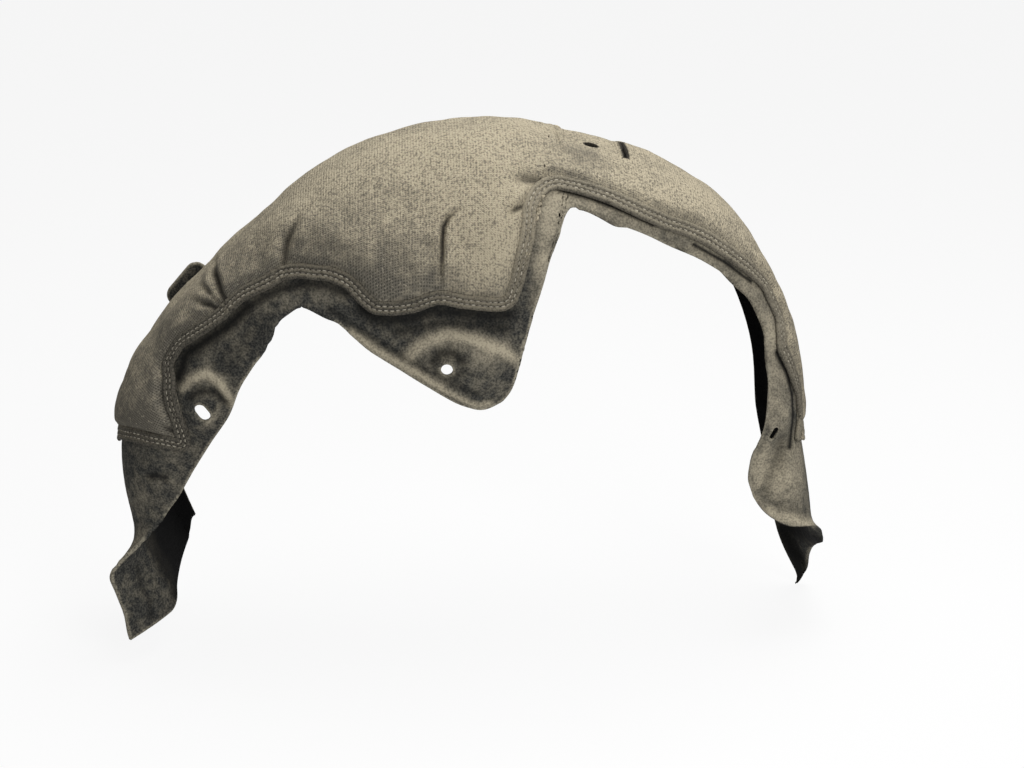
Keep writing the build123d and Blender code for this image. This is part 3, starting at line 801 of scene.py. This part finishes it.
COVER_YARN = (0.160, 0.146, 0.117, 1.0)
COVER_GAP = (0.078, 0.072, 0.060, 1.0)
# Dust colour, also used to paint light
COVER_DUST_AND_LIGHT = (0.475, 0.415, 0.30, 1.0)
COVER_FLECK = (0.56, 0.50, 0.38, 1.0)
# Painted shade for the creases and the crown's hole and slot
COVER_PAINTED_SHADE = (0.022, 0.020, 0.017, 1.0)
COVER_ROUGHNESS = 0.95
WEAVE_PITCH = 0.0029
WEAVE_SHARE = 0.5
GRIT_SIZE = 0.0024
FLECK_SIZE = 0.0028
BLOT_SIZE = 0.010
STAIN_SIZE = 0.05
COVER_RELIEF = 0.0010


def woven_cover():
    """Weave of grey-brown yarn, pale with dust and painted light on top, darker down the rear leg, and
    painted shade in its creases and at the crown's hole and slot.
    """
    surface = Surface("woven_cover", COVER_ROUGHNESS)
    split = surface.add("ShaderNodeSeparateXYZ")
    laid = surface.add("ShaderNodeAttribute", attribute_name="cloth")
    surface.feed(split.inputs[0], laid.outputs["Vector"])
    yarns = []
    for along in ("X", "Y"):
        turns = surface.math("MULTIPLY", split.outputs[along], 2 * math.pi / WEAVE_PITCH)
        yarns.append(surface.math("SINE", turns))
    weave = surface.ramp(surface.math("MAXIMUM", yarns[0], yarns[1]), -0.6, 1.0)
    grit = surface.speckle(GRIT_SIZE, 8.0)
    blots = surface.speckle(BLOT_SIZE, 6.0)
    flecks = surface.speckle(FLECK_SIZE, 6.0)
    stains = surface.speckle(STAIN_SIZE, 6.0)
    colour = surface.blend(weave, COVER_GAP, COVER_YARN)
    up = surface.ramp(surface.facing_up(), -0.3, 0.9, 0.35, 0.95)
    # Dust with painted light: the spots lighten the middle panel and darken the rear leg and the recess
    dust_and_light_share = surface.math("ADD", surface.value_of("dust_and_light"), up)
    dust_and_light_share = surface.math("ADD", dust_and_light_share, surface.ramp(stains, 0.3, 0.7, -0.18, 0.18))
    dust_and_light_share = surface.math("ADD", dust_and_light_share, surface.ramp(blots, 0.3, 0.7, -0.16, 0.16))
    dust_and_light_share = surface.math("MULTIPLY", dust_and_light_share, surface.ramp(grit, 0.34, 0.62, 0.45, 1.20))
    dust_and_light_share = surface.math("MULTIPLY", dust_and_light_share, surface.ramp(weave, 0.0, 1.0, 0.88, 1.02), clamp=True)
    colour = surface.blend(dust_and_light_share, colour, COVER_DUST_AND_LIGHT)
    colour = surface.blend(surface.ramp(grit, 0.34, 0.52, 0.30, 0.0), colour, COVER_GAP)
    colour = surface.blend(surface.ramp(flecks, 0.57, 0.70, 0.0, 0.40), colour, COVER_FLECK)
    # Painted shade in the creases and at the crown's hole and slot
    painted_shade_share = surface.ramp(surface.value_of("crease_and_hole_shade"), 0.20, 0.9, 0.0, 0.95)
    colour = surface.blend(painted_shade_share, colour, COVER_PAINTED_SHADE)
    height = surface.math("ADD", surface.math("MULTIPLY", weave, WEAVE_SHARE), grit)
    return surface.finish(colour, height, COVER_RELIEF)


cover.data.materials.append(woven_cover())
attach(cover, "root")
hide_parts("absorber_pad")

# Hem
# The cover's edge, folded into a band and sewn through to the shell with two rows of stitches. The rows pull
# the band down between three soft ridges, and it is pleated where a tuck takes up the cover.
HEM_PROFILE = [
    (-0.0004, 0.0004), (-0.0014, 0.0016), (-0.0012, 0.0034), (0.0002, 0.0047), (0.0018, 0.0052),
    (0.0032, 0.0047), (0.0042, 0.0034), (0.0052, 0.0045), (0.0066, 0.0051), (0.0078, 0.0046),
    (0.0088, 0.0034), (0.0098, 0.0045), (0.0112, 0.0052), (0.0126, 0.0052), (0.0142, 0.0042),
]
STITCH_ROWS = [0.0042, 0.0088]
TUCKS = [(232, 313), (282, 280), (440, 302), (553, 184), (515, 303)]
PLEAT_PITCH = 0.0036
PLEAT_RISE = 0.0011
PLEAT_REACH = 0.009
HEM_WANDER = 0.0007
HEM_WANDER_SIZE = 0.02
HEM_STEADY = 4
SAME_WAY = 0.3

hem_count = len(hem_line)
hem_along = [(hem_line[(k + 1) % hem_count] - hem_line[k - 1]).normalized() for k in range(hem_count)]
shell_normals = [shell_tree.find_nearest(point)[1] for point in hem_line]
hem_normal = [normal.normalized() for normal in steadied(shell_normals, HEM_EVEN)]
hem_inward = [normal.cross(along).normalized() for normal, along in zip(hem_normal, hem_along)]


def off_pad(way):
    """Total distance from the pad to points that lie a hem's width from the hem line, on one side of it."""
    places = [point + inward * way * HEM_WIDTH for point, inward in zip(hem_line, hem_inward)]
    return sum(pad_tree.find_nearest(place)[3] for place in places)


if off_pad(-1) < off_pad(1):
    hem_inward = [-inward for inward in hem_inward]
hem_inward = [inward.normalized() for inward in steadied(hem_inward, HEM_STEADY)]
tuck_stations = [hem_tree.find(seen_on(shell_tree, pixel))[1] for pixel in TUCKS]


def pleat(station):
    """Rise of the band's pleats at a station of the hem line."""
    waves = math.sin(2 * math.pi * station * HEM_STEP / PLEAT_PITCH)
    steps = [min((station - tuck) % hem_count, (tuck - station) % hem_count) for tuck in tuck_stations]
    return PLEAT_RISE * waves * sum(hill(step * HEM_STEP, PLEAT_REACH) for step in steps)


def on_hem(station, inward, height):
    """Point and normal of the band at a station, a way in from its edge and a height over the shell."""
    wander = HEM_WANDER * noise.noise(hem_line[station] / HEM_WANDER_SIZE)
    aim = hem_line[station] + hem_inward[station] * (inward + wander)
    foot, normal, _, _ = shell_tree.find_nearest(aim)
    if normal.dot(hem_normal[station]) < SAME_WAY:
        normal = hem_normal[station]
    return foot + normal * (height + pleat(station)), normal


hem_bm = bmesh.new()
rows = []
for station in range(hem_count):
    rows.append([hem_bm.verts.new(on_hem(station, inward, height)[0]) for inward, height in HEM_PROFILE])
for station in range(hem_count):
    ahead = rows[(station + 1) % hem_count]
    for k in range(len(HEM_PROFILE) - 1):
        hem_bm.faces.new((rows[station][k], rows[station][k + 1], ahead[k + 1], ahead[k]))
bmesh.ops.recalc_face_normals(hem_bm, faces=hem_bm.faces)
hem_bm.normal_update()
hem = add_object("hem_band", hem_bm)
hem.data.polygons.foreach_set("use_smooth", [True] * len(hem.data.polygons))
# Dust and painted light from the cover's spots
add_values(hem.data, "dust_and_light", [dust_and_light_at(vert.co, cover_spots) for vert in hem_bm.verts])
sunken = [float(inward in STITCH_ROWS) for inward, height in HEM_PROFILE]
add_values(hem.data, "sunken", sunken * hem_count)
HEM_CLOTH = (0.110, 0.100, 0.080, 1.0)
# Dust colour, also used to paint light
HEM_DUST_AND_LIGHT = (0.305, 0.270, 0.200, 1.0)
# Dark tone of the cloth, also used as painted shade along the stitch rows
HEM_DARK_AND_SHADE = (0.030, 0.028, 0.024, 1.0)
HEM_ROUGHNESS = 0.95
HEM_GRIT_SIZE = 0.0018
HEM_RELIEF = 0.0008


def hem_cloth():
    """Folded cover cloth, pale on its ridges with dust and painted light, and darkened by painted shade
    along its sunken stitch rows.
    """
    surface = Surface("hem_cloth", HEM_ROUGHNESS)
    grit = surface.speckle(HEM_GRIT_SIZE, 8.0)
    colour = surface.blend(surface.ramp(grit, 0.3, 0.65), HEM_DARK_AND_SHADE, HEM_CLOTH)
    up = surface.ramp(surface.facing_up(), -0.4, 0.9, 0.15, 0.8)
    # Dust with painted light from the cover's spots, and dust where the band faces up
    dust_and_light_share = surface.math("ADD", surface.value_of("dust_and_light"), up)
    dust_and_light_share = surface.math("MULTIPLY", dust_and_light_share, surface.ramp(grit, 0.3, 0.6, 0.5, 1.1), clamp=True)
    colour = surface.blend(dust_and_light_share, colour, HEM_DUST_AND_LIGHT)
    # Painted shade along the sunken stitch rows
    painted_shade_share = surface.ramp(surface.value_of("sunken"), 0.2, 1.0, 0.0, 0.8)
    colour = surface.blend(painted_shade_share, colour, HEM_DARK_AND_SHADE)
    return surface.finish(colour, grit, HEM_RELIEF)


hem.data.materials.append(hem_cloth())
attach(hem, "root")

# Stitches
# Two rows of lockstitch in a thick polyester thread, sewn through the hem into the felt and grey with dust.
STITCH_PITCH = 0.0062
STITCH_LENGTH = 0.0050
THREAD_RADIUS = 0.00080
THREAD_COLOUR = (0.50, 0.46, 0.37, 1.0)
THREAD_SOIL = (0.20, 0.18, 0.145, 1.0)
THREAD_ROUGHNESS = 0.8
THREAD_GRIT_SIZE = 0.004
TWIST_SIZE = 0.0006
THREAD_RELIEF = 0.0002
STRAND_SIDES = 6
STRAND_RINGS = 5


def thread_finish():
    """Dusty twisted thread."""
    surface = Surface("sewing_thread", THREAD_ROUGHNESS)
    grit = surface.speckle(THREAD_GRIT_SIZE, 4.0)
    colour = surface.blend(surface.ramp(grit, 0.35, 0.65), THREAD_SOIL, THREAD_COLOUR)
    return surface.finish(colour, surface.speckle(TWIST_SIZE, 2.0), THREAD_RELIEF)


def stitch_tree(thread):
    """Geometry nodes that set one stitch after another along each sewing line."""
    tree = bpy.data.node_groups.new("stitch_rows", "GeometryNodeTree")
    tree.interface.new_socket("Geometry", in_out="INPUT", socket_type="NodeSocketGeometry")
    sizes = {"Pitch": STITCH_PITCH, "Length": STITCH_LENGTH, "Thread radius": THREAD_RADIUS}
    for name, size in sizes.items():
        socket = tree.interface.new_socket(name, in_out="INPUT", socket_type="NodeSocketFloat")
        socket.default_value = size
    tree.interface.new_socket("Geometry", in_out="OUTPUT", socket_type="NodeSocketGeometry")
    add = tree.nodes.new
    link = tree.links.new
    given = add("NodeGroupInput")
    result = add("NodeGroupOutput")
    sewn_rows = add("GeometryNodeMeshToCurve")
    steps = add("GeometryNodeResampleCurve")
    steps.mode = "LENGTH"
    tangent = add("GeometryNodeInputTangent")
    normal = add("GeometryNodeInputNamedAttribute")
    normal.data_type = "FLOAT_VECTOR"
    normal.inputs["Name"].default_value = "sewn_normal"
    turn = add("FunctionNodeAxesToRotation")
    turn.primary_axis = "X"
    turn.secondary_axis = "Z"
    strand = add("GeometryNodeMeshUVSphere")
    strand.inputs["Segments"].default_value = STRAND_SIDES
    strand.inputs["Rings"].default_value = STRAND_RINGS
    strand.inputs["Radius"].default_value = 1.0
    half_length = add("ShaderNodeMath")
    half_length.operation = "MULTIPLY"
    half_length.inputs[1].default_value = 0.5
    stretch = add("ShaderNodeCombineXYZ")
    shaped = add("GeometryNodeTransform")
    place = add("GeometryNodeInstanceOnPoints")
    real = add("GeometryNodeRealizeInstances")
    finish = add("GeometryNodeSetMaterial")
    finish.inputs["Material"].default_value = thread
    link(given.outputs["Geometry"], sewn_rows.inputs["Mesh"])
    link(sewn_rows.outputs["Curve"], steps.inputs["Curve"])
    link(given.outputs["Pitch"], steps.inputs["Length"])
    link(tangent.outputs["Tangent"], turn.inputs["Primary Axis"])
    link(normal.outputs["Attribute"], turn.inputs["Secondary Axis"])
    link(given.outputs["Length"], half_length.inputs[0])
    link(half_length.outputs[0], stretch.inputs["X"])
    link(given.outputs["Thread radius"], stretch.inputs["Y"])
    link(given.outputs["Thread radius"], stretch.inputs["Z"])
    link(strand.outputs["Mesh"], shaped.inputs["Geometry"])
    link(stretch.outputs[0], shaped.inputs["Scale"])
    link(steps.outputs["Curve"], place.inputs["Points"])
    link(shaped.outputs["Geometry"], place.inputs["Instance"])
    link(turn.outputs["Rotation"], place.inputs["Rotation"])
    link(place.outputs["Instances"], real.inputs["Geometry"])
    link(real.outputs["Geometry"], finish.inputs["Geometry"])
    link(finish.outputs["Geometry"], result.inputs["Geometry"])
    return tree


sewing_bm = bmesh.new()
sewn_normals = []
for row in STITCH_ROWS:
    height = next(rise for inward, rise in HEM_PROFILE if inward == row)
    line = []
    for station in range(hem_count):
        place, normal = on_hem(station, row, height + THREAD_RADIUS / 2)
        line.append(sewing_bm.verts.new(place))
        sewn_normals.append(normal)
    for station in range(hem_count):
        sewing_bm.edges.new((line[station], line[(station + 1) % hem_count]))
sewing = add_object("sewing_lines", sewing_bm)
normals = sewing.data.attributes.new("sewn_normal", "FLOAT_VECTOR", "POINT")
normals.data.foreach_set("vector", [number for normal in sewn_normals for number in normal])
modifier = sewing.modifiers.new("stitch_rows", "NODES")
modifier.node_group = stitch_tree(thread_finish())
for socket in modifier.node_group.interface.items_tree:
    if socket.in_out == "INPUT" and socket.socket_type == "NodeSocketFloat":
        modifier[socket.identifier] = socket.default_value
sewn = sewing.evaluated_get(bpy.context.evaluated_depsgraph_get())
stitch_mesh = bpy.data.meshes.new_from_object(sewn)
stitches = bpy.data.objects.new("hem_stitches", stitch_mesh)
bpy.context.scene.collection.objects.link(stitches)
bpy.data.objects.remove(sewing)
stitch_mesh.polygons.foreach_set("use_smooth", [True] * len(stitch_mesh.polygons))
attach(stitches, "root")
